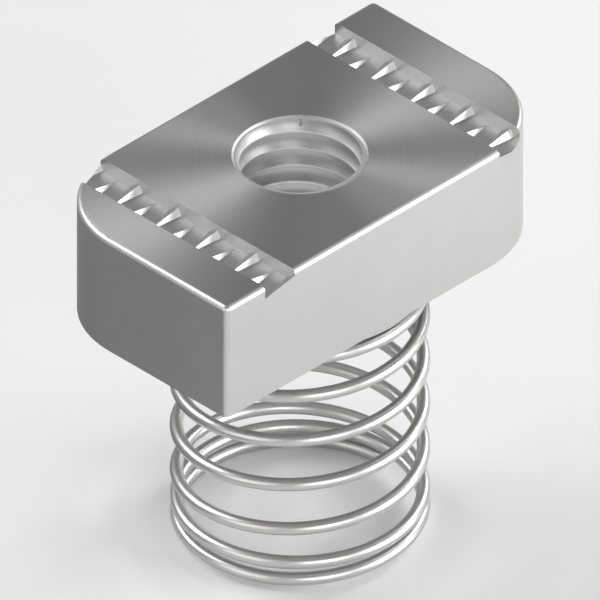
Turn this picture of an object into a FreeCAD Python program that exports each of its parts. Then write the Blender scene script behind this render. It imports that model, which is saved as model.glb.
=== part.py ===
import FreeCAD, Part
import Sketcher
import PartDesign
import math
import os

# Strut spring nut: a toothed channel nut held up by a coil spring.
# Millimetres, +Z up. The origin is on the thread's axis, at the level that the
# spring stands on. X runs along the nut, Y across it.

doc = FreeCAD.newDocument("strut_spring_nut")
sheet = doc.addObject("Spreadsheet::Sheet", "Sizes")

# Driving sizes: name, value, what it is
SIZES = [
    ("nut_length", 35.4, "long side of the nut, across the channel"),
    ("nut_width", 20.2, "short side, which passes the channel's slot"),
    ("nut_thickness", 9.8, "from the underside to the toothed face"),
    ("corner_radius", 8.0, "two opposite corners that clear the channel's walls"),
    ("square_edge", 0.5, "rounding of the two square corners"),
    ("rim_edge", 0.4, "rounding round the toothed face"),
    ("thread_size", 10.0, "nominal thread"),
    ("thread_pitch", 1.5, "coarse pitch"),
    ("thread_form", 1.0825, "twice the depth of a metric nut thread, in pitches"),
    ("groove_spacing", 24.3, "between the middles of the two grooves"),
    ("groove_width", 3.1, "room for the channel's lip"),
    ("groove_depth", 1.04, "from the toothed face to the groove's floor"),
    ("tooth_height", 0.56, "crest above the groove's floor"),
    ("tooth_pitch", 4.05, "from tooth to tooth along one wall"),
    ("tooth_front", 0.36, "run of the steep flank"),
    ("tooth_back", 0.9, "run of the long flank"),
    ("coil_inset", 0.55, "from the nut's long side in to the outside of the coils"),
    ("wire_diameter", 1.0, "spring wire"),
    ("spring_length", 22.63, "free length, wire to wire"),
    ("spring_turns", 8.0, "from one end of the wire to the other"),
    ("flat_pitch", 0.45, "pitch of the end coils where they lie flat"),
    ("flat_turns", 0.6, "how far the end coils lie flat"),
    ("step_pitch", 2.0, "pitch where a coil climbs over the wire's end"),
    ("step_turns", 1.02, "where that climb ends"),
    ("close_pitch", 1.15, "pitch of the next, closed coil"),
    ("foot_close_turns", 1.95, "where the foot's closed coil opens"),
    ("head_close_turns", 1.57, "where the head's closed coil opens"),
    ("opening_turns", 0.45, "how gently the coils open"),
    ("bend_turns", 0.1, "how gently the pitch changes in an end coil"),
    ("seat_gap", 0.03, "between the head coil and the nut"),
    ("boss_gap", 0.2, "between the boss and the inside of the coil"),
    ("boss_height", 0.9, "round boss that centres the head coil"),
    ("lip_gap", 0.02, "from a lip's tip up to the level of the wire's underside"),
    ("lip_reach", 0.15, "how far a lip's tip reaches under the wire"),
    ("lip_rise", 0.2, "from a lip's tip up to where it leaves the boss"),
    ("lip_depth", 0.45, "from a lip's tip down to its lower face"),
    ("lip_root", 1.0, "metal of a lip inside the boss's rim"),
    ("lip_sweep", 15.0, "degrees that a lip covers"),
    ("lip_start_turns", 0.2, "from the wire's end to the first lip"),
    ("tool_overrun", 2.0, "how far the groove's cutting tool stands clear of the nut"),
]

for row, (name, value, note) in enumerate(SIZES, start=1):
    sheet.set("A%d" % row, name)
    sheet.set("B%d" % row, str(value))
    sheet.set("C%d" % row, note)
    sheet.setAlias("B%d" % row, name)
doc.recompute()

# Counts, and how closely two lengths or volumes must agree to be taken as the same
OUTER_TEETH = 5
INNER_TEETH = 6
LIPS = 3
RUNS_PER_TURN = 15
SAME_LENGTH = 1e-6
SAME_VOLUME = 0.01


def size(name):
    """One driving size, read from the sheet."""
    return float(sheet.get(name))


def origin_plane(body, role):
    """The plane of a body's own origin that has this role."""
    for feature in body.Origin.OriginFeatures:
        if feature.Role == role:
            return feature
    raise ValueError("no plane " + role)


def new_sketch(body, name, role):
    """A sketch on one of the body's own origin planes."""
    sketch = body.newObject("Sketcher::SketchObject", name)
    sketch.AttachmentSupport = [(origin_plane(body, role), "")]
    sketch.MapMode = "FlatFace"
    return sketch


def value_of(expression):
    """What an expression on the sheet comes to."""
    return float(sheet.evalExpression(expression.replace("Sizes.", "")))


def draw_polygon(sketch, corners):
    """A closed outline whose corners are held by pairs of expressions."""
    points = [FreeCAD.Vector(value_of(x), value_of(y), 0) for x, y in corners]
    count = len(points)
    for i in range(count):
        sketch.addGeometry(Part.LineSegment(points[i], points[(i + 1) % count]), False)
    for i in range(count):
        sketch.addConstraint(Sketcher.Constraint("Coincident", i, 2, (i + 1) % count, 1))
    for i, (x, y) in enumerate(corners):
        for kind, expression in (("DistanceX", x), ("DistanceY", y)):
            amount = value_of(expression)
            index = sketch.addConstraint(Sketcher.Constraint(kind, -1, 1, i, 1, amount))
            name = "corner%d_%s" % (i, kind[-1])
            sketch.renameConstraint(index, name)
            sketch.setExpression("Constraints." + name, expression)


def draw_circle(sketch, diameter):
    """A circle on the sketch's origin, with its diameter as an expression."""
    centre = FreeCAD.Vector(0, 0, 0)
    circle = Part.Circle(centre, FreeCAD.Vector(0, 0, 1), value_of(diameter) / 2)
    sketch.addGeometry(circle, False)
    sketch.addConstraint(Sketcher.Constraint("Coincident", 0, 3, -1, 1))
    index = sketch.addConstraint(Sketcher.Constraint("Diameter", 0, value_of(diameter)))
    sketch.renameConstraint(index, "diameter")
    sketch.setExpression("Constraints.diameter", diameter)


# The wire's pitch along its length

def end_stages(close_turns):
    """Turns from the wire's end, with the pitch there, up to where the coils open."""
    bend = size("bend_turns") / 2
    return [
        (0.0, size("flat_pitch")),
        (size("flat_turns") - bend, size("flat_pitch")),
        (size("flat_turns") + bend, size("step_pitch")),
        (size("step_turns") - bend, size("step_pitch")),
        (size("step_turns") + bend, size("close_pitch")),
        (close_turns - size("opening_turns") / 2, size("close_pitch")),
    ]


def pitch_stages(open_pitch):
    """The whole wire's stages: foot, open coils and head."""
    turns = size("spring_turns")
    opening = size("opening_turns") / 2
    foot = end_stages(size("foot_close_turns"))
    head = end_stages(size("head_close_turns"))
    foot.append((size("foot_close_turns") + opening, open_pitch))
    head.append((size("head_close_turns") + opening, open_pitch))
    return foot + [(turns - turn, pitch) for turn, pitch in reversed(head)]


def rise_between(stages):
    """Height gained over stages whose pitch changes evenly from one to the next."""
    pairs = zip(stages, stages[1:])
    return sum((b[0] - a[0]) * (a[1] + b[1]) / 2 for a, b in pairs)


def open_coil_pitch():
    """The pitch of the open coils that gives the spring its free length."""
    wanted = size("spring_length") - size("wire_diameter")
    closed = rise_between(pitch_stages(0.0))
    per_pitch = rise_between(pitch_stages(1.0)) - closed
    return (wanted - closed) / per_pitch


STAGES = pitch_stages(open_coil_pitch())


def wire_height(turn):
    """Height of the wire's middle, so many turns from its lower end."""
    height = size("wire_diameter") / 2
    for (start, low), (end, high) in zip(STAGES, STAGES[1:]):
        along = min(turn, end) - start
        if along <= 0:
            break
        height += along * (low + (high - low) * along / (end - start) / 2)
    return height


# Levels that several pieces share
UNDERSIDE = "Sizes.spring_length + Sizes.seat_gap"
TOP_FACE = UNDERSIDE + " + Sizes.nut_thickness"
GROOVE_FLOOR = TOP_FACE + " - Sizes.groove_depth"
INSIDE_RADIUS = "(Sizes.nut_width / 2 - Sizes.coil_inset - Sizes.wire_diameter)"
BOSS_RADIUS = INSIDE_RADIUS + " - Sizes.boss_gap"


# Nut blank: a block with two round and two square corners
blank = doc.addObject("PartDesign::Body", "nut_blank")
outline = new_sketch(blank, "outline", "XY_Plane")
outline.setExpression(".AttachmentOffset.Base.z", UNDERSIDE)
half_long = "Sizes.nut_length / 2"
half_wide = "Sizes.nut_width / 2"
draw_polygon(outline, [
    ("-" + half_long, "-" + half_wide),
    (half_long, "-" + half_wide),
    (half_long, half_wide),
    ("-" + half_long, half_wide),
])
block = blank.newObject("PartDesign::Pad", "block")
block.Profile = outline
block.setExpression("Length", "Sizes.nut_thickness")
doc.recompute()


def upright_edges(shape, same_sign):
    """Upright corner edges whose X and Y have the same sign, or not."""
    names = []
    for number, edge in enumerate(shape.Edges, start=1):
        middle = edge.CenterOfMass
        across = edge.Vertexes[0].Point - edge.Vertexes[-1].Point
        level = abs(across.z) < SAME_LENGTH
        upright = math.hypot(across.x, across.y) < SAME_LENGTH and not level
        if upright and (middle.x * middle.y > 0) == same_sign:
            names.append("Edge%d" % number)
    return names


def top_edges(shape):
    """Edges that lie in the shape's highest face."""
    top = shape.BoundBox.ZMax
    names = []
    for number, edge in enumerate(shape.Edges, start=1):
        if edge.BoundBox.ZMin > top - SAME_LENGTH:
            names.append("Edge%d" % number)
    return names


def add_rounding(body, name, base, edges, radius):
    """A fillet on some edges of the base feature."""
    rounding = body.newObject("PartDesign::Fillet", name)
    rounding.Base = (base, edges)
    rounding.setExpression("Radius", "Sizes." + radius)
    doc.recompute()
    return rounding


round_corners = add_rounding(
    blank, "round_corners", block, upright_edges(block.Shape, False), "corner_radius")
square_corners = add_rounding(
    blank, "square_corners", round_corners,
    upright_edges(round_corners.Shape, True), "square_edge")
rim = add_rounding(blank, "rim", square_corners, top_edges(square_corners.Shape), "rim_edge")

# Boss under the nut, inside the head coil
boss_outline = new_sketch(blank, "boss_outline", "XY_Plane")
boss_outline.setExpression(".AttachmentOffset.Base.z", UNDERSIDE)
draw_circle(boss_outline, "2 * (" + BOSS_RADIUS + ")")
boss = blank.newObject("PartDesign::Pad", "boss")
boss.Profile = boss_outline
boss.Reversed = True
boss.setExpression("Length", "Sizes.boss_height")
doc.recompute()

# Staked lips that hook under the head coil, each at its own height
for i in range(LIPS):
    back = size("lip_start_turns") + i / LIPS
    wire_under = wire_height(size("spring_turns") - back) - size("wire_diameter") / 2
    azimuth = 360.0 * (size("spring_turns") - back)
    level = "lip_level_%d" % (i + 1)
    row = len(SIZES) + i + 1
    sheet.set("A%d" % row, level)
    sheet.set("B%d" % row, repr(wire_under))
    sheet.setAlias("B%d" % row, level)
    doc.recompute()
    lip_outline = new_sketch(blank, "lip_outline_%d" % (i + 1), "XZ_Plane")
    turn = FreeCAD.Rotation(FreeCAD.Vector(0, 1, 0), azimuth)
    lip_outline.AttachmentOffset = FreeCAD.Placement(FreeCAD.Vector(0, 0, 0), turn)
    tip = "Sizes." + level + " - Sizes.lip_gap"
    low = tip + " - Sizes.lip_depth"
    root = BOSS_RADIUS + " - Sizes.lip_root"
    inside_boss = UNDERSIDE + " - Sizes.boss_height / 2"
    draw_polygon(lip_outline, [
        (root, inside_boss),
        (BOSS_RADIUS, inside_boss),
        (BOSS_RADIUS, tip + " + Sizes.lip_rise"),
        (INSIDE_RADIUS + " + Sizes.lip_reach", tip),
        (BOSS_RADIUS, low),
        (root, low),
    ])
    lip = blank.newObject("PartDesign::Revolution", "lip_%d" % (i + 1))
    lip.Profile = lip_outline
    lip.ReferenceAxis = (lip_outline, ["V_Axis"])
    lip.Midplane = True
    lip.setExpression("Angle", "Sizes.lip_sweep")
    doc.recompute()

# Bore at the thread's smallest diameter, through the nut and its boss
bore_outline = new_sketch(blank, "bore_outline", "XY_Plane")
bore_outline.setExpression(".AttachmentOffset.Base.z", TOP_FACE)
draw_circle(bore_outline, "Sizes.thread_size - Sizes.thread_form * Sizes.thread_pitch")
before_bore = blank.Shape.Volume
bore = blank.newObject("PartDesign::Pocket", "bore")
bore.Profile = bore_outline
bore.Type = "ThroughAll"
doc.recompute()
if not bore.Shape.Volume < before_bore:
    raise RuntimeError("the bore cut nothing")

# One groove with its teeth left standing, as a tool that is cut from the blank
tool = doc.addObject("PartDesign::Body", "groove_tool")
section = new_sketch(tool, "groove_section", "XZ_Plane")
left_wall = "-Sizes.groove_spacing / 2 - Sizes.groove_width / 2"
right_wall = "-Sizes.groove_spacing / 2 + Sizes.groove_width / 2"
above = TOP_FACE + " + Sizes.tool_overrun"
draw_polygon(section, [
    (left_wall, GROOVE_FLOOR),
    (right_wall, GROOVE_FLOOR),
    (right_wall, above),
    (left_wall, above),
])
channel = tool.newObject("PartDesign::Pad", "groove_channel")
channel.Profile = section
channel.Midplane = True
channel.setExpression("Length", "Sizes.nut_width + 2 * Sizes.tool_overrun")
doc.recompute()


def add_teeth(name, wall, far_wall, count):
    """A row of half pyramids that lean on one wall and die out at the other."""
    first = "-Sizes.tooth_pitch * %g" % ((count - 1) / 2)
    crest = GROOVE_FLOOR + " + Sizes.tooth_height"
    base = new_sketch(tool, name + "_base", "YZ_Plane")
    base.setExpression(".AttachmentOffset.Base.z", wall)
    draw_polygon(base, [
        (first + " - Sizes.tooth_front", GROOVE_FLOOR),
        (first + " + Sizes.tooth_back", GROOVE_FLOOR),
        (first, crest),
    ])
    tip = new_sketch(tool, name + "_tip", "YZ_Plane")
    tip.setExpression(".AttachmentOffset.Base.z", far_wall)
    point = FreeCAD.Vector(value_of(first), value_of(GROOVE_FLOOR), 0)
    tip.addGeometry(Part.Point(point), False)
    for kind, expression in (("DistanceX", first), ("DistanceY", GROOVE_FLOOR)):
        index = tip.addConstraint(
            Sketcher.Constraint(kind, -1, 1, 0, 1, value_of(expression)))
        tip.renameConstraint(index, "tip_" + kind[-1])
        tip.setExpression("Constraints.tip_" + kind[-1], expression)
    doc.recompute()
    tooth = tool.newObject("PartDesign::SubtractiveLoft", name + "_tooth")
    tooth.Profile = base
    tooth.Sections = [tip]
    tooth.Ruled = True
    doc.recompute()
    row_of_teeth = tool.newObject("PartDesign::LinearPattern", name + "_row")
    row_of_teeth.Originals = [tooth]
    row_of_teeth.Direction = (base, ["H_Axis"])
    row_of_teeth.Occurrences = count
    row_of_teeth.setExpression("Length", "Sizes.tooth_pitch * %d" % (count - 1))
    tool.Tip = row_of_teeth
    doc.recompute()


add_teeth("outer", left_wall, right_wall, OUTER_TEETH)
add_teeth("inner", right_wall, left_wall, INNER_TEETH)

# The same groove at the other end, with its teeth facing the same way
mirrored_tool = doc.addObject("Part::Mirroring", "mirrored_groove_tool")
mirrored_tool.Source = tool
mirrored_tool.Normal = FreeCAD.Vector(1, 0, 0)
both_tools = doc.addObject("Part::MultiFuse", "groove_tools")
both_tools.Shapes = [tool, mirrored_tool]
nut = doc.addObject("Part::Cut", "nut")
nut.Base = blank
nut.Tool = both_tools
nut.Label = "channel_nut"
doc.recompute()

# Coil spring: round wire swept along a helix whose pitch follows the stages, in
# short straight runs that meet on a mitre. The corners stand outside the coil's
# circle by as much as the middles of the runs lie inside it.
coil_radius = (size("nut_width") - size("wire_diameter")) / 2 - size("coil_inset")
path_radius = coil_radius * 2 / (1 + math.cos(math.pi / RUNS_PER_TURN))
steps = round(size("spring_turns") * RUNS_PER_TURN)
path_points = []
for i in range(steps + 1):
    turn = size("spring_turns") * i / steps
    angle = 2 * math.pi * turn
    path_points.append(FreeCAD.Vector(
        path_radius * math.cos(angle), path_radius * math.sin(angle), wire_height(turn)))
wire_path = doc.addObject("Part::Feature", "wire_path")
wire_path.Shape = Part.makePolygon(path_points)
along_wire = FreeCAD.Rotation(FreeCAD.Vector(0, 0, 1), path_points[1] - path_points[0])
wire_section = doc.addObject("Part::Circle", "wire_section")
wire_section.Placement = FreeCAD.Placement(path_points[0], along_wire)
wire_section.setExpression("Radius", "Sizes.wire_diameter / 2")
spring = doc.addObject("Part::Sweep", "spring")
spring.Sections = [wire_section]
spring.Spine = (wire_path, ["Edge%d" % (i + 1) for i in range(steps)])
spring.Solid = True
spring.Transition = "Right corner"
spring.Label = "coil_spring"
doc.recompute()
wire_volume = math.pi * size("wire_diameter") ** 2 / 4 * wire_path.Shape.Length
if abs(spring.Shape.Volume - wire_volume) > SAME_VOLUME * wire_volume:
    raise RuntimeError("the spring's volume is not its section times its length")

# Checks before anything is written
for item in doc.Objects:
    for word in ("Invalid", "Error"):
        if word in item.State:
            raise RuntimeError(item.Name + " is " + word)
pieces = [nut, spring]
for piece in pieces:
    if piece.Shape.isNull() or not piece.Shape.isValid():
        raise RuntimeError(piece.Label + " has no valid shape")
    if len(piece.Shape.Solids) != 1:
        raise RuntimeError(piece.Label + " is not one solid")

os.makedirs("parts", exist_ok=True)
for piece in pieces:
    piece.Shape.exportStep("parts/" + piece.Label + ".step")
    box = piece.Shape.BoundBox
    print(piece.Label, round(piece.Shape.Volume, 2),
          [round(v, 3) for v in (box.XMin, box.YMin, box.ZMin, box.XMax, box.YMax, box.ZMax)])
print("open pitch", round(open_coil_pitch(), 3), "underside", value_of(UNDERSIDE))
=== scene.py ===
# %% [markdown]
# A strut spring nut: a steel block with a threaded hole and two toothed
# grooves, held up inside its channel by a coil spring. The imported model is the
# frame that everything here is fitted to, in metres, with its origin on the
# thread's axis where the spring stands. The nut's top and the spring's ends are
# read from that frame, so that what is made here starts where the solids do.

import math

import bmesh
import bpy
import numpy as np
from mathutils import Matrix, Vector


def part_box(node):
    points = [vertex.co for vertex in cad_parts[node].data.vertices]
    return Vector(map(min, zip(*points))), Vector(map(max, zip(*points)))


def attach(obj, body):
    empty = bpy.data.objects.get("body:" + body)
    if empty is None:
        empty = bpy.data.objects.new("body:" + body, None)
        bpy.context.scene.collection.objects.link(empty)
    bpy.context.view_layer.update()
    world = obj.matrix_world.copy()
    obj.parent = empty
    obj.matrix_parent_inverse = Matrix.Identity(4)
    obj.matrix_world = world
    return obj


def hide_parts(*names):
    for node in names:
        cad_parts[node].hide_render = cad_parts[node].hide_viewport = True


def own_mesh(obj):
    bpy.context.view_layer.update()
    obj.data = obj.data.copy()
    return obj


MM = 0.001

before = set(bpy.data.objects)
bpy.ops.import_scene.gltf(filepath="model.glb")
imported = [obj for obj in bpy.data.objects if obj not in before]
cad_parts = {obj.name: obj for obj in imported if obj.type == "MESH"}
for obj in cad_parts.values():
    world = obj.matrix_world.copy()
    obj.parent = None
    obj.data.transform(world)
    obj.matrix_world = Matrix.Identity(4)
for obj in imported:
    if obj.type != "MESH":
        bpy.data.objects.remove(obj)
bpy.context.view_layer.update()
top_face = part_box("channel_nut")[1].z
spring_low, spring_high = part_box("coil_spring")

# %% [markdown]
# The photograph is a parallel projection, seen from halfway between the nut's
# long and short sides, so its camera is orthographic and every size on it can
# be read on one scale. The camera looks at a point on the thread's axis.

# %% Camera
VIEW_AZIMUTH = -45.0
VIEW_ELEVATION = 35.264
VIEW_WIDTH = 43.93 * MM
AIM_BELOW_TOP = 13.04 * MM
CAMERA_DISTANCE = 0.4
NEAREST_SEEN = 1 * MM
FARTHEST_SEEN = 20.0

azimuth = math.radians(VIEW_AZIMUTH)
elevation = math.radians(VIEW_ELEVATION)
toward_camera = Vector((
    math.sin(azimuth) * math.cos(elevation),
    -math.cos(azimuth) * math.cos(elevation),
    math.sin(elevation)))
camera_data = bpy.data.cameras.new("camera")
camera_data.type = "ORTHO"
camera_data.ortho_scale = VIEW_WIDTH
camera_data.clip_start = NEAREST_SEEN
camera_data.clip_end = FARTHEST_SEEN
camera = bpy.data.objects.new("camera", camera_data)
camera.location = Vector((0, 0, top_face - AIM_BELOW_TOP)) + toward_camera * CAMERA_DISTANCE
camera.rotation_mode = "QUATERNION"
camera.rotation_quaternion = (-toward_camera).to_track_quat("-Z", "Y")
bpy.context.scene.collection.objects.link(camera)
bpy.context.scene.camera = camera
bpy.context.scene.view_settings.view_transform = "Standard"
print("camera at", tuple(round(c, 3) for c in camera.location))

# %% [markdown]
# The part stands on a plain pale floor. Steel has no colour of its own worth
# the name: it shows what is round it, so the floor and the lamps matter more
# than the paint. A floor needs no more than one flat rectangle with one even
# tone. It reaches far past the view, because the steel mirrors all of it.

# %% Floor
FLOOR_HALF = 1.5
FLOOR_TONE = 0.72


def plain_paint(name, tone, roughness, gloss):
    """A material with one grey tone all over."""
    paint = bpy.data.materials.new(name)
    paint.use_nodes = True
    shader = paint.node_tree.nodes["Principled BSDF"]
    shader.inputs["Base Color"].default_value = (tone, tone, tone, 1)
    shader.inputs["Roughness"].default_value = roughness
    shader.inputs["Specular IOR Level"].default_value = gloss
    return paint


def link_object(name, mesh):
    """A new object in the scene for this mesh."""
    made = bpy.data.objects.new(name, mesh)
    bpy.context.scene.collection.objects.link(made)
    return made


def lay_sheet(name, rectangles, height, paint):
    """Flat rectangles that face up, each given by its low and its high corner."""
    corners = [
        (x, y, height) for low, high in rectangles
        for x, y in (low, (high[0], low[1]), high, (low[0], high[1]))]
    mesh = bpy.data.meshes.new(name)
    mesh.from_pydata(corners, [], np.arange(len(corners)).reshape(-1, 4).tolist())
    mesh.materials.append(paint)
    return link_object(name, mesh)


floor = lay_sheet(
    "floor", [((-FLOOR_HALF, -FLOOR_HALF), (FLOOR_HALF, FLOOR_HALF))], 0,
    plain_paint("floor_paint", FLOOR_TONE, roughness=0.9, gloss=0.1))
print("floor", 2 * FLOOR_HALF, "m square")

# %% [markdown]
# A bright steel end that faces a pale floor turns pale too. A photographer
# would lay a dark cloth where only the metal sees it. These two lie to the left
# of the nut and behind it. The camera and the shadows pass them by, and only
# reflections show them, so the floor looks the same as without them.

# %% Dark cloths
CLOTH_LEFT = ((-160 * MM, -10 * MM), (-30 * MM, 130 * MM))
CLOTH_BEHIND = ((-30 * MM, 14 * MM), (130 * MM, 130 * MM))
CLOTH_HEIGHT = 0.2 * MM
CLOTH_TONE = 0.18

cloth = lay_sheet(
    "dark_cloth", [CLOTH_LEFT, CLOTH_BEHIND], CLOTH_HEIGHT,
    plain_paint("dark_cloth", CLOTH_TONE, roughness=1.0, gloss=0.5))
cloth.visible_camera = False
cloth.visible_diffuse = False
cloth.visible_shadow = False
cloth.visible_transmission = False
print("dark cloths", len(cloth.data.polygons))

# %% [markdown]
# A large soft lamp stands low at the right, where the nut's long side and the
# teeth face, and leaves the end at the left in half shade. The end and back
# lamps draw the two bright fans on the toothed face. The near and left lamps
# reach into the grooves and the thread, and a tiny one under the hole keeps the
# thread's lower turns out of the dark. Small lamps far away would draw hard
# spots on steel, so the others are a third to four fifths as wide as they are
# far from the nut.

# %% Lamps and world
UNDER_LAMP_DEPTH = 11 * MM
UNDER_LAMP_WIDTH = 8 * MM
UNDER_LAMP_WATTS = 0.00016
WORLD_STRENGTH = 0.24


def add_lamp(name, bearing, height, distance, width, watts):
    """A square area lamp that faces the nut.

    Its place is given as a compass bearing in degrees, with 0 at +X and 90 at
    +Y, a height in degrees above the horizon and a distance from the middle of
    the toothed face.
    """
    bearing, height = math.radians(bearing), math.radians(height)
    direction = Vector((
        math.cos(bearing) * math.cos(height),
        math.sin(bearing) * math.cos(height),
        math.sin(height)))
    data = bpy.data.lights.new(name, "AREA")
    data.shape = "SQUARE"
    data.size = width
    data.energy = watts
    lamp = bpy.data.objects.new(name, data)
    lamp.location = Vector((0, 0, top_face)) + direction * distance
    lamp.rotation_mode = "QUATERNION"
    lamp.rotation_quaternion = direction.to_track_quat("Z", "Y")
    bpy.context.scene.collection.objects.link(lamp)
    return lamp


add_lamp("side_lamp", bearing=-56, height=11, distance=0.45, width=0.28, watts=2.4)
add_lamp("end_lamp", bearing=-3, height=27, distance=0.5, width=0.16, watts=0.95)
add_lamp("back_lamp", bearing=106, height=41.5, distance=0.5, width=0.30, watts=1.5)
add_lamp("near_lamp", bearing=-116, height=17, distance=0.5, width=0.28, watts=1.0)
add_lamp("left_lamp", bearing=176, height=20, distance=0.5, width=0.40, watts=0.75)
under_lamp = add_lamp(
    "under_lamp", bearing=0, height=-90, distance=UNDER_LAMP_DEPTH, width=UNDER_LAMP_WIDTH,
    watts=UNDER_LAMP_WATTS)
under_lamp.visible_camera = False
world = bpy.data.worlds.new("studio")
world.use_nodes = True
world.node_tree.nodes["Background"].inputs["Color"].default_value = (1, 1, 1, 1)
world.node_tree.nodes["Background"].inputs["Strength"].default_value = WORLD_STRENGTH
bpy.context.scene.world = world

# %% [markdown]
# The thread is a broad hollow that climbs round the bore and leaves a narrow
# ridge between its turns. It could be wound as a surface and set into the bore,
# but its ends would have to be fitted to the mouth by hand. Here a solid of the
# same form as a tap is cut from the nut instead, so that the hollow runs out at
# the mouth as a real one does. First comes the form of one pitch of that tap.

# %% The tap's profile
THREAD_PITCH = 1.5 * MM
RIDGE_RADIUS = 4.50 * MM
RIDGE_WIDTH = 0.12 * MM
HOLLOW_DEPTH = 0.28 * MM
HOLLOW_STEPS = 8


def tap_profile():
    """Radius and height at the corners of one pitch of the tap.

    From the bottom up: the flat that leaves the nut's ridge, then the hollow.
    With u from 0 to 1 across the hollow, its radius is the ridge's plus the
    depth times 4 u (1 - u).
    """
    u = np.arange(HOLLOW_STEPS) / HOLLOW_STEPS
    radii = np.append(RIDGE_RADIUS, RIDGE_RADIUS + HOLLOW_DEPTH * 4 * u * (1 - u))
    heights = np.append(0, RIDGE_WIDTH + (THREAD_PITCH - RIDGE_WIDTH) * u)
    return radii, heights


print("thread", round((RIDGE_RADIUS + HOLLOW_DEPTH) / MM, 2), "mm to the hollow's floor")

# %% [markdown]
# The profile is then carried up a helix, as a grid of points with the steps
# round the axis on one side and the profile's corners on the other. The tap
# reaches past the nut at both ends, so that the cut runs right through.

# %% The tap's points
STEPS_ROUND = 144
TAP_TURNS = 10
TAP_BELOW_SPRING = 2.9 * MM
RIDGE_BELOW_TOP = 1.12 * MM
RIDGE_BEARING = 45.0

tap_low = spring_high.z - TAP_BELOW_SPRING


def tap_points():
    """The tap's points, as steps round by corners of the profile.

    A point's angle is its step round, its height is the profile's height plus
    the pitch times the turns so far, and its radius is the profile's. The whole
    is turned so that on one bearing the nut's first ridge lies at the depth
    that the photograph shows.
    """
    radii, heights = tap_profile()
    step = np.arange(STEPS_ROUND * TAP_TURNS + 1)
    ridge_level = top_face - RIDGE_BELOW_TOP - RIDGE_WIDTH / 2
    turns_to_ridge = (ridge_level - tap_low) / THREAD_PITCH
    start = math.radians(RIDGE_BEARING) - 2 * np.pi * turns_to_ridge
    around = start + 2 * np.pi * step / STEPS_ROUND
    height = tap_low + heights + (THREAD_PITCH * step / STEPS_ROUND)[:, None]
    return np.stack([
        radii * np.cos(around)[:, None], radii * np.sin(around)[:, None], height], axis=-1)


print("tap", TAP_TURNS, "turns from", round(tap_low / MM, 2), "mm up")

# %% [markdown]
# Only a closed solid can be cut away cleanly. One helper turns points and faces
# into an object with its faces outwards, and prints how many edges are open and
# the volume, which show at once whether a skin is whole.

# %% The tap as a closed solid


def measure(name, form):
    """Prints a skin's open edges and volume."""
    print(name, "open edges", sum(len(e.link_faces) != 2 for e in form.edges),
          "volume", round(form.calc_volume() / MM ** 3, 1), "mm3")


def closed_solid(name, points, faces):
    """A new object from points and faces, without loose points, all faces outwards."""
    mesh = bpy.data.meshes.new(name)
    mesh.from_pydata(points, [], faces)
    form = bmesh.new()
    form.from_mesh(mesh)
    loose = [v for v in form.verts if not v.link_faces]
    bmesh.ops.delete(form, geom=loose, context="VERTS")
    bmesh.ops.recalc_face_normals(form, faces=form.faces)
    measure(name, form)
    form.to_mesh(mesh)
    form.free()
    return link_object(name, mesh)


def fan(middle, ring):
    """Triangles from a middle point to each side of a closed ring of points."""
    return np.stack([np.full(len(ring), middle), ring, np.roll(ring, -1)], axis=-1).tolist()


def make_tap():
    """The tap's skin.

    A strip of faces follows the profile and ends on the next turn's first
    corner. A fan closes each end, from a point on the axis to one turn of the
    helix and one profile.
    """
    points = tap_points()
    index = np.arange(points[..., 0].size).reshape(points.shape[:2])
    strip = np.concatenate([index[:-STEPS_ROUND], index[STEPS_ROUND:, :1]], axis=1)
    sides = np.stack(
        [strip[:-1, :-1], strip[1:, :-1], strip[1:, 1:], strip[:-1, 1:]], axis=-1)
    foot = np.concatenate([index[:STEPS_ROUND, 0], strip[0, :0:-1]])
    head = np.concatenate([index[-STEPS_ROUND - 1:, 0], strip[-1, -2:0:-1]])
    foot_middle = (0, 0, tap_low - THREAD_PITCH)
    head_middle = (0, 0, points[-1, 0, 2] + THREAD_PITCH)
    return closed_solid(
        "tap", points.reshape(-1, 3).tolist() + [foot_middle, head_middle],
        sides.reshape(-1, 4).tolist() + fan(index.size, foot) + fan(index.size + 1, head))


tap = make_tap()

# %% [markdown]
# A countersink takes the sharp edge off the mouth. A Bevel modifier would take
# every sharp edge of the nut, so a short cone is cut away here instead.

# %% The mouth's countersink
MOUTH_RADIUS = 5.03 * MM
SINK_DEPTH = 0.15 * MM


def make_sink():
    """A short cone at 45 degrees: its radius is the mouth's plus its height over the face.

    Its corners are at radius times cosine and sine of even steps round.
    """
    around = 2 * np.pi * np.arange(STEPS_ROUND) / STEPS_ROUND
    rings = [
        np.column_stack([
            (MOUTH_RADIUS + rise) * np.cos(around), (MOUTH_RADIUS + rise) * np.sin(around),
            np.full(STEPS_ROUND, top_face + rise)])
        for rise in (-SINK_DEPTH, SINK_DEPTH)]
    index = np.arange(STEPS_ROUND)
    beside = np.roll(index, -1)
    sides = np.stack([index, beside, beside + STEPS_ROUND, index + STEPS_ROUND], axis=-1)
    return closed_solid(
        "sink", np.concatenate(rings).tolist(),
        sides.tolist() + [index[::-1].tolist(), (index + STEPS_ROUND).tolist()])


sink = make_sink()

# %% [markdown]
# The tap has left one small nick in the mouth's far wall, wide at the top and
# gone a little over a millimetre down. Four corners are enough for it.

# %% The nick
NICK_BEARING = 46.0
NICK_LEFT = 0.60 * MM
NICK_RIGHT = -0.20 * MM
NICK_LENGTH = 1.15 * MM
NICK_BITE = 0.38 * MM


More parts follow.
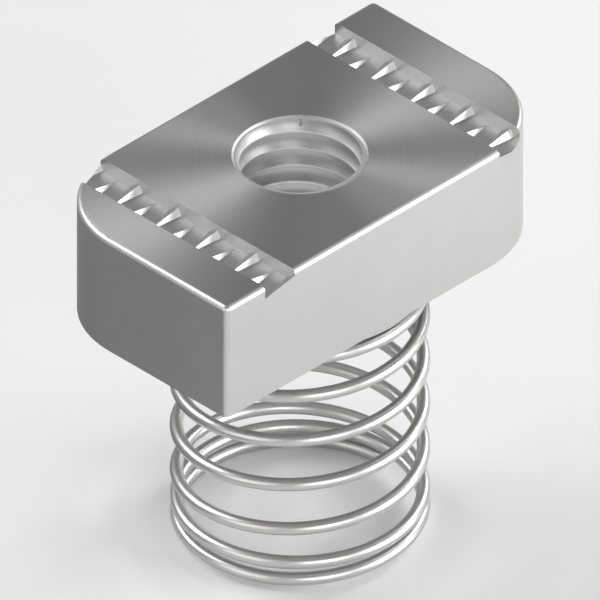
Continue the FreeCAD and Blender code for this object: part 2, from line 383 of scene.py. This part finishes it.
def make_nick():
    """A wedge with a triangle over the toothed face and a point below.

    Its corners are given as distance from the axis, distance to the left and
    height over the face, and turned to the nick's bearing.
    """
    bearing = math.radians(NICK_BEARING)
    far = RIDGE_RADIUS + NICK_BITE
    floor_radius = RIDGE_RADIUS + HOLLOW_DEPTH
    corners = [
        (RIDGE_RADIUS, NICK_LEFT, SINK_DEPTH), (RIDGE_RADIUS, NICK_RIGHT, SINK_DEPTH),
        (far, NICK_RIGHT, SINK_DEPTH), (floor_radius, NICK_RIGHT, -NICK_LENGTH)]
    points = [
        (out * math.cos(bearing) - left * math.sin(bearing),
         out * math.sin(bearing) + left * math.cos(bearing), top_face + rise)
        for out, left, rise in corners]
    return closed_solid("nick", points, [(0, 1, 2), (1, 0, 3), (2, 1, 3), (0, 2, 3)])


nick = make_nick()

# %% [markdown]
# The nut's own form is the CAD solid, whose grooves and teeth are already as
# they should be. Its mesh is loose triangles, so a copy is joined into one skin
# first. The tap, the countersink and the nick are then taken from it, each edge
# is made hard or soft by its angle, and the large flat faces decide the shading
# where a rounding meets them.

# %% The threaded nut
SHARP_ANGLE = math.radians(24)
JOIN_DISTANCE = 0.0005 * MM


def merged_copy(node, name):
    """A CAD node's mesh as a new object, its loose triangles joined into one skin."""
    form = bmesh.new()
    form.from_mesh(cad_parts[node].data)
    bmesh.ops.remove_doubles(form, verts=form.verts, dist=JOIN_DISTANCE)
    measure(name, form)
    mesh = bpy.data.meshes.new(name)
    form.to_mesh(mesh)
    form.free()
    mesh.attributes.remove(mesh.attributes["custom_normal"])
    return link_object(name, mesh)


def bake_modifiers(piece):
    """Replaces a piece's mesh by what its modifiers make of it."""
    view = bpy.context.evaluated_depsgraph_get()
    final = bpy.data.meshes.new_from_object(piece.evaluated_get(view))
    piece.modifiers.clear()
    piece.data = final


def cut_away(piece, tool):
    """Takes a tool's solid from a piece, and clears the tool away."""
    cut = piece.modifiers.new(tool.name, "BOOLEAN")
    cut.operation = "DIFFERENCE"
    cut.solver = "EXACT"
    cut.object = tool
    bake_modifiers(piece)
    bpy.data.objects.remove(tool)


nut = merged_copy("channel_nut", "threaded_nut")
for tool in (tap, sink, nick):
    cut_away(nut, tool)
nut.data.shade_smooth()
nut.data.set_sharp_from_angle(angle=SHARP_ANGLE)
fair = nut.modifiers.new("flat_faces_lead", "WEIGHTED_NORMAL")
fair.keep_sharp = True
print("nut triangles", sum(len(p.vertices) - 2 for p in nut.data.polygons))

# %% [markdown]
# The spring is one round wire. Its end coils lie nearly flat so that it stands
# square, the next coil climbs over the wire's end, and the open coils between
# share what is left of the free length. The pitch is a broken line over the
# turns, and the height is the area under it, so no coil has to be placed alone.

# %% The wire's path
WIRE_DIAMETER = 1.0 * MM
COIL_DIAMETER = 19.1 * MM
SPRING_TURNS = 8.0
FLAT_PITCH = 0.45 * MM
FLAT_TURNS = 0.6
STEP_PITCH = 2.0 * MM
STEP_TURNS = 1.02
CLOSE_PITCH = 1.15 * MM
FOOT_CLOSE_TURNS = 1.95
HEAD_CLOSE_TURNS = 1.57
OPENING_TURNS = 0.45
BEND_TURNS = 0.1
WIRE_STEPS = 128


def end_turns(close_turns):
    """Turns from a wire end at which the pitch changes, the last where the coils are open."""
    bend = BEND_TURNS / 2
    opening = OPENING_TURNS / 2
    return [0, FLAT_TURNS - bend, FLAT_TURNS + bend, STEP_TURNS - bend, STEP_TURNS + bend,
            close_turns - opening, close_turns + opening]


def running_sum(pitch, turn):
    """Height gained up to each turn: the area under the pitch, by trapezoids."""
    return np.concatenate([[0], np.cumsum((pitch[1:] + pitch[:-1]) / 2 * np.diff(turn))])


def wire_path():
    """Points along the middle of the wire, the wire's direction and the angle at each.

    Height is the running sum of pitch over turns. The open coils' pitch is what
    is missing from the free length, shared over them.
    """
    turn = np.linspace(0, SPRING_TURNS, round(SPRING_TURNS * WIRE_STEPS) + 1)
    ends = [FLAT_PITCH, FLAT_PITCH, STEP_PITCH, STEP_PITCH, CLOSE_PITCH, CLOSE_PITCH]
    stages = end_turns(FOOT_CLOSE_TURNS) + [
        SPRING_TURNS - t for t in reversed(end_turns(HEAD_CLOSE_TURNS))]
    closed = np.interp(turn, stages, ends + [0, 0] + ends[::-1])
    opened = np.interp(turn, stages, [0] * len(ends) + [1, 1] + [0] * len(ends))
    wanted = spring_high.z - spring_low.z - WIRE_DIAMETER
    missing = wanted - running_sum(closed, turn)[-1]
    pitch = closed + opened * missing / running_sum(opened, turn)[-1]
    angle = 2 * np.pi * turn
    radius = (COIL_DIAMETER - WIRE_DIAMETER) / 2
    path = np.stack([
        radius * np.cos(angle), radius * np.sin(angle),
        spring_low.z + WIRE_DIAMETER / 2 + running_sum(pitch, turn)], axis=-1)
    direction = np.stack([
        -radius * np.sin(angle), radius * np.cos(angle), pitch / (2 * np.pi)], axis=-1)
    direction /= np.linalg.norm(direction, axis=1, keepdims=True)
    print("open pitch", round(pitch.max() / MM, 3), "mm")
    return path, direction, angle


path, direction, angle = wire_path()
along = np.concatenate([[0], np.cumsum(np.linalg.norm(np.diff(path, axis=0), axis=1))])
print("wire", round(along[-1] / MM), "mm long")

# %% [markdown]
# A curve with a round bevel would draw the same wire. A skin worked out here
# can also carry an attribute: wire_place holds where each point would lie if
# the wire were pulled straight, so that marks from drawing can run along it.

# %% The wire's skin
WIRE_SIDES = 32
END_ROUNDING = 0.06 * MM
END_ROUNDING_DEGREES = (0, 30, 60, 90)
WIRE_SHARP_ANGLE = math.radians(50)


def wire_rings():
    """Rings of points round the wire, and the same points with the wire straight.

    Each ring lies square to the wire: its two axes are the coil's radius and
    the wire's direction crossed with it. At each end a few rings round off the
    edge: with the angle a from 0 to 90 degrees, they shrink by the rounding
    times 1 - sin a and lie back by the rounding times 1 - cos a.
    """
    outward = np.stack([np.cos(angle), np.sin(angle), np.zeros_like(angle)], axis=-1)
    upward = np.cross(outward, direction)
    edge = np.radians(END_ROUNDING_DEGREES)
    inset = END_ROUNDING * (1 - np.sin(edge))
    back = END_ROUNDING * (1 - np.cos(edge))
    last = len(path) - 1
    unchanged = np.zeros(last - 1)
    ring_of = np.concatenate([[0] * len(edge), np.arange(1, last), [last] * len(edge)])
    shrink = np.concatenate([inset, unchanged, inset[::-1]])
    slide = np.concatenate([back, unchanged, -back[::-1]])
    radius = (WIRE_DIAMETER / 2 - shrink)[:, None]
    around = 2 * np.pi * np.arange(WIRE_SIDES) / WIRE_SIDES
    out = radius * np.cos(around)
    up = radius * np.sin(around)
    centre = path[ring_of] + direction[ring_of] * slide[:, None]
    points = (centre[:, None] + outward[ring_of][:, None] * out[..., None]
              + upward[ring_of][:, None] * up[..., None])
    run = np.broadcast_to((along[ring_of] + slide)[:, None], out.shape)
    return points, np.stack([out, up, run], axis=-1)


def make_spring():
    """The wire as a closed tube: quads from ring to ring, and one face on each end."""
    points, place = wire_rings()
    index = np.arange(points[..., 0].size).reshape(points.shape[:2])
    beside = np.roll(index, -1, axis=1)
    sides = np.stack([index[:-1], index[1:], beside[1:], beside[:-1]], axis=-1)
    made = closed_solid(
        "spring_coils", points.reshape(-1, 3).tolist(),
        sides.reshape(-1, 4).tolist() + [index[0].tolist(), index[-1, ::-1].tolist()])
    attribute = made.data.attributes.new("wire_place", "FLOAT_VECTOR", "POINT")
    attribute.data.foreach_set("vector", place.reshape(-1).astype(np.float32))
    made.data.shade_smooth()
    made.data.set_sharp_from_angle(angle=WIRE_SHARP_ANGLE)
    return made


spring = make_spring()

# %% [markdown]
# Steel finishes are built from small parts: how rough the metal is, which way
# its marks run, and how its tone drifts. Each helper below adds one such part,
# so that a finish reads as a short list. A picture of steel could be laid on
# instead, but it would blur close up and show where it is joined.

# %% Helpers for the finishes


def new_steel(name):
    """A bare metal material with its shader, ready for a finish's own nodes."""
    paint = bpy.data.materials.new(name)
    paint.use_nodes = True
    shader = paint.node_tree.nodes["Principled BSDF"]
    shader.inputs["Metallic"].default_value = 1.0
    return paint, paint.node_tree, shader


def add_node(tree, kind, **settings):
    """A node with its settings. A setting named in_NAME or in_NUMBER sets a socket."""
    node = tree.nodes.new(kind)
    for key, value in settings.items():
        if key.startswith("in_"):
            socket = key[3:].replace("_", " ")
            node.inputs[int(socket) if socket.isdigit() else socket].default_value = value
        else:
            setattr(node, key, value)
    return node


def join(tree, source, target, socket_out=0, socket_in=0):
    """A link from one node's output to another's input."""
    tree.links.new(source.outputs[socket_out], target.inputs[socket_in])


def keep_axes(tree, place, axes):
    """The place on the object with some axes left out: 1 keeps an axis and 0 drops it."""
    kept = add_node(tree, "ShaderNodeVectorMath", operation="MULTIPLY", in_1=axes)
    join(tree, place, kept, "Object")
    return kept


def length_of(tree, vector):
    """The length of a vector, such as the distance from the axis."""
    node = add_node(tree, "ShaderNodeVectorMath", operation="LENGTH")
    join(tree, vector, node)
    return node


def give_tones(tree, shader, factor, low, high):
    """Gives the metal a tone between two, by a factor from 0 to 1."""
    ramp = add_node(tree, "ShaderNodeValToRGB")
    ramp.color_ramp.elements[0].color = (*low, 1)
    ramp.color_ramp.elements[1].color = (*high, 1)
    join(tree, factor, ramp)
    join(tree, ramp, shader, 0, "Base Color")


def give_roughness(tree, shader, pattern, low, high):
    """Lets a pattern take the roughness from low to high."""
    node = add_node(tree, "ShaderNodeMapRange", in_3=low, in_4=high)
    join(tree, pattern, node)
    join(tree, node, shader, 0, "Roughness")


def give_relief(tree, shader, pattern, strength, depth):
    """Lets a pattern tilt the surface a little, as scratches of that depth would."""
    bump = add_node(tree, "ShaderNodeBump", in_Strength=strength, in_Distance=depth)
    join(tree, pattern, bump, 0, "Height")
    join(tree, bump, shader, 0, "Normal")


def spread_light(tree, shader, vector, amount):
    """Spreads highlights along a vector, as marks that run across it do."""
    unit = add_node(tree, "ShaderNodeVectorMath", operation="NORMALIZE")
    join(tree, vector, unit)
    join(tree, unit, shader, 0, "Tangent")
    shader.inputs["Anisotropic"].default_value = amount


print("finish helpers ready")

# %% [markdown]
# The toothed face is turned: a tool has left fine rings round the thread's
# axis. Light spreads across such rings, not along them, which draws the bright
# fans. The shader spreads light along its tangent, so the tangent points away
# from the axis: it is the place on the face with its height left out.

# %% Turned steel
RING_FREQUENCY = 9000.0
RING_DETAIL = 4.0
RING_TONES = (0.50, 0.50, 0.495), (0.60, 0.60, 0.59)
RING_ROUGHNESS = 0.34, 0.44
RING_RELIEF = 0.25, 0.02 * MM
RING_SPREAD = 0.8


def turned_steel():
    """Rings: a one-dimensional noise over the distance from the axis."""
    paint, tree, shader = new_steel("turned_steel")
    place = add_node(tree, "ShaderNodeTexCoord")
    flat = keep_axes(tree, place, (1, 1, 0))
    spread_light(tree, shader, flat, RING_SPREAD)
    rings = add_node(
        tree, "ShaderNodeTexNoise", noise_dimensions="1D", in_Scale=RING_FREQUENCY,
        in_Detail=RING_DETAIL)
    join(tree, length_of(tree, flat), rings, "Value", "W")
    give_tones(tree, shader, rings, *RING_TONES)
    give_roughness(tree, shader, rings, *RING_ROUGHNESS)
    give_relief(tree, shader, rings, *RING_RELIEF)
    return paint


turned = turned_steel()
print(turned.name, len(turned.node_tree.nodes), "nodes")

# %% [markdown]
# The sides and the grooves are cut and then plated. Plating has a fine grain
# that has no direction, over a slow drift of tone, so two plain noises do.

# %% Plated steel
GRAIN_SCALE = 4200.0
GRAIN_DETAIL = 3.0
CLOUD_SCALE = 160.0
CLOUD_DETAIL = 2.0
PLATED_TONES = (0.54, 0.54, 0.535), (0.60, 0.60, 0.59)
PLATED_ROUGHNESS = 0.36, 0.46
PLATED_RELIEF = 0.15, 0.01 * MM


def plated_steel():
    """A fine grain over a slow drift of tone."""
    paint, tree, shader = new_steel("plated_steel")
    place = add_node(tree, "ShaderNodeTexCoord")
    grain = add_node(tree, "ShaderNodeTexNoise", in_Scale=GRAIN_SCALE, in_Detail=GRAIN_DETAIL)
    join(tree, place, grain, "Object", "Vector")
    clouds = add_node(tree, "ShaderNodeTexNoise", in_Scale=CLOUD_SCALE, in_Detail=CLOUD_DETAIL)
    join(tree, place, clouds, "Object", "Vector")
    give_tones(tree, shader, clouds, *PLATED_TONES)
    give_roughness(tree, shader, grain, *PLATED_ROUGHNESS)
    give_relief(tree, shader, grain, *PLATED_RELIEF)
    return paint


plated = plated_steel()
print(plated.name, len(plated.node_tree.nodes), "nodes")

# %% [markdown]
# The thread was cut after the plating, so it is bare metal. The ridge's crest
# gets a painted highlight: a lighter tone picked out by the distance from the
# axis. The tap's marks run round the bore and spread light up and down it, so
# here the tangent points along the axis: it is the place with only its height kept.

# %% Tapped steel
# Painted highlight: the crest's tone is lighter and falls to the hollow's tone within this depth.
CREST_HIGHLIGHT_DEPTH = 0.05 * MM
TAP_GRAIN_DETAIL = 2.0
CREST_HIGHLIGHT_AND_HOLLOW_TONES = (0.74, 0.74, 0.73), (0.52, 0.52, 0.51)
TAPPED_ROUGHNESS = 0.48, 0.56
TAPPED_SPREAD = 0.5


def tapped_steel():
    """A faint grain from the tap, and a painted highlight: a lighter tone on the ridge's crest
    that falls off behind it.
    """
    paint, tree, shader = new_steel("tapped_steel")
    place = add_node(tree, "ShaderNodeTexCoord")
    spread_light(tree, shader, keep_axes(tree, place, (0, 0, 1)), TAPPED_SPREAD)
    # Painted highlight: lighter on the ridge's crest, falling off behind it.
    crest_highlight_falloff = add_node(
        tree, "ShaderNodeMapRange", in_1=RIDGE_RADIUS, in_2=RIDGE_RADIUS + CREST_HIGHLIGHT_DEPTH)
    join(tree, length_of(tree, keep_axes(tree, place, (1, 1, 0))), crest_highlight_falloff, "Value")
    give_tones(tree, shader, crest_highlight_falloff, *CREST_HIGHLIGHT_AND_HOLLOW_TONES)
    grain = add_node(tree, "ShaderNodeTexNoise", in_Scale=GRAIN_SCALE, in_Detail=TAP_GRAIN_DETAIL)
    join(tree, place, grain, "Object", "Vector")
    give_roughness(tree, shader, grain, *TAPPED_ROUGHNESS)
    return paint


tapped = tapped_steel()
print(tapped.name, len(tapped.node_tree.nodes), "nodes")

# %% [markdown]
# The wire was drawn through a die, which leaves it smooth with faint lines
# along it. The lines come from a noise that is squeezed across the wire and
# stretched along it, in the wire's own straightened coordinates.

# %% Drawn wire
LINES_ACROSS = 9000.0
LINES_ALONG = 150.0
LINES_DETAIL = 2.0
WIRE_TONES = (0.54, 0.535, 0.52), (0.62, 0.615, 0.60)
WIRE_ROUGHNESS = 0.32, 0.40
WIRE_RELIEF = 0.12, 0.01 * MM


def drawn_wire():
    """Lengthwise lines from a stretched noise."""
    paint, tree, shader = new_steel("drawn_wire")
    place = add_node(tree, "ShaderNodeAttribute", attribute_name="wire_place")
    stretch = add_node(
        tree, "ShaderNodeVectorMath", operation="MULTIPLY",
        in_1=(LINES_ACROSS, LINES_ACROSS, LINES_ALONG))
    join(tree, place, stretch, "Vector")
    lines = add_node(tree, "ShaderNodeTexNoise", in_Scale=1.0, in_Detail=LINES_DETAIL)
    join(tree, stretch, lines, 0, "Vector")
    give_tones(tree, shader, lines, *WIRE_TONES)
    give_roughness(tree, shader, lines, *WIRE_ROUGHNESS)
    give_relief(tree, shader, lines, *WIRE_RELIEF)
    return paint


spring.data.materials.append(drawn_wire())
print("spring finished as", spring.data.materials[0].name)

# %% [markdown]
# The nut is one skin with three finishes. A face's place says which it gets:
# level faces at the very top are turned, faces inside the mouth's edge are
# tapped, and all others are plated.

# %% Finish the nut
FACE_DEPTH = 0.01 * MM
LEVEL_NORMAL = 0.99


def face_vectors(mesh, kind):
    """One row for each face: its center or its normal."""
    values = np.empty(len(mesh.polygons) * 3)
    mesh.polygons.foreach_get(kind, values)
    return values.reshape(-1, 3)


nut.data.materials.clear()
for finish in (plated, turned, tapped):
    nut.data.materials.append(finish)
x, y, z = face_vectors(nut.data, "center").T
level = face_vectors(nut.data, "normal")[:, 2] > LEVEL_NORMAL
on_top = level & (z > top_face - FACE_DEPTH)
in_bore = np.hypot(x, y) < MOUTH_RADIUS
finish_of_face = np.where(on_top, 1, np.where(in_bore, 2, 0))
nut.data.polygons.foreach_set("material_index", finish_of_face.astype(np.int32))
print("faces plated, turned and tapped", np.bincount(finish_of_face).tolist())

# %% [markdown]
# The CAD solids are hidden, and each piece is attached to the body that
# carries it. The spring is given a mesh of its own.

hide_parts("channel_nut")
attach(nut, "nut")
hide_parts("coil_spring")
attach(spring, "spring")
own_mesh(spring)
